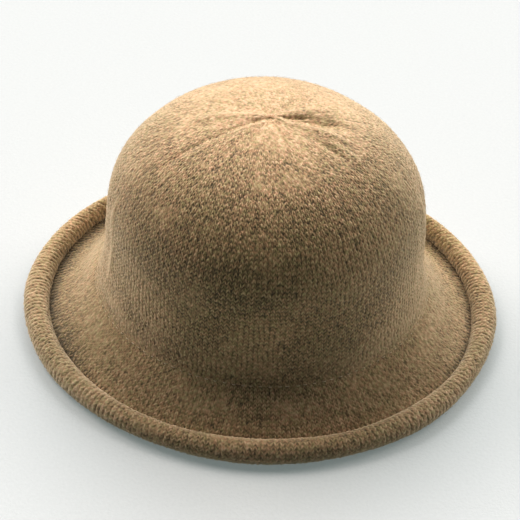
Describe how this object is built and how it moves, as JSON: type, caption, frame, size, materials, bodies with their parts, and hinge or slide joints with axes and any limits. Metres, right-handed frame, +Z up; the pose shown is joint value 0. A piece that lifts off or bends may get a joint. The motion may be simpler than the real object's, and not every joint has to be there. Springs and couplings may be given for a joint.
{
  "type": "bowler hat",
  "caption": "Knitted wool bowler hat with a round dome crown, a gathered tip, a sloping brim with a fat rolled edge, and a ribbon sweatband inside.",
  "frame": {"origin": "on the surface that the brim rests on, under the middle of the hat", "axes": "+Z up through the crown's tip, +X along the hat's long axis towards the wearer's face, +Y to the wearer's left"},
  "size_m": [0.2896, 0.2634, 0.1465],
  "materials": {
    "knit": "fuzzy fulled wool stockinette, camel brown with lighter and darker fibres",
    "yarn": "wool yarn",
    "thread": "pale sewing thread",
    "cotton": "undyed cotton",
    "ribbon": "dark brown grosgrain, cross-ribbed",
    "label": "plain woven satin, no print"
  },
  "bodies": {
    "hat": {"crown_knit": "knit", "brim_knit": "knit", "crown_gather_yarn": "yarn", "crown_gather_knot": "yarn", "linking_yarn": "yarn", "needle_thread": "thread", "bobbin_thread": "thread", "label_stitching": "thread", "roll_cord": "cotton", "cord_joining_tape": "cotton", "sweatband": "ribbon", "sweatband_patch": "ribbon"},
    "label": {"size_label": "label"}
  },
  "joints": [
    {"name": "label_flap", "type": "hinge", "parent": "hat", "child": "label", "pos_m": [-0.08916, 0, 0.052], "axis": [0, -1, 0], "range_deg": [0, 150]}
  ]
}
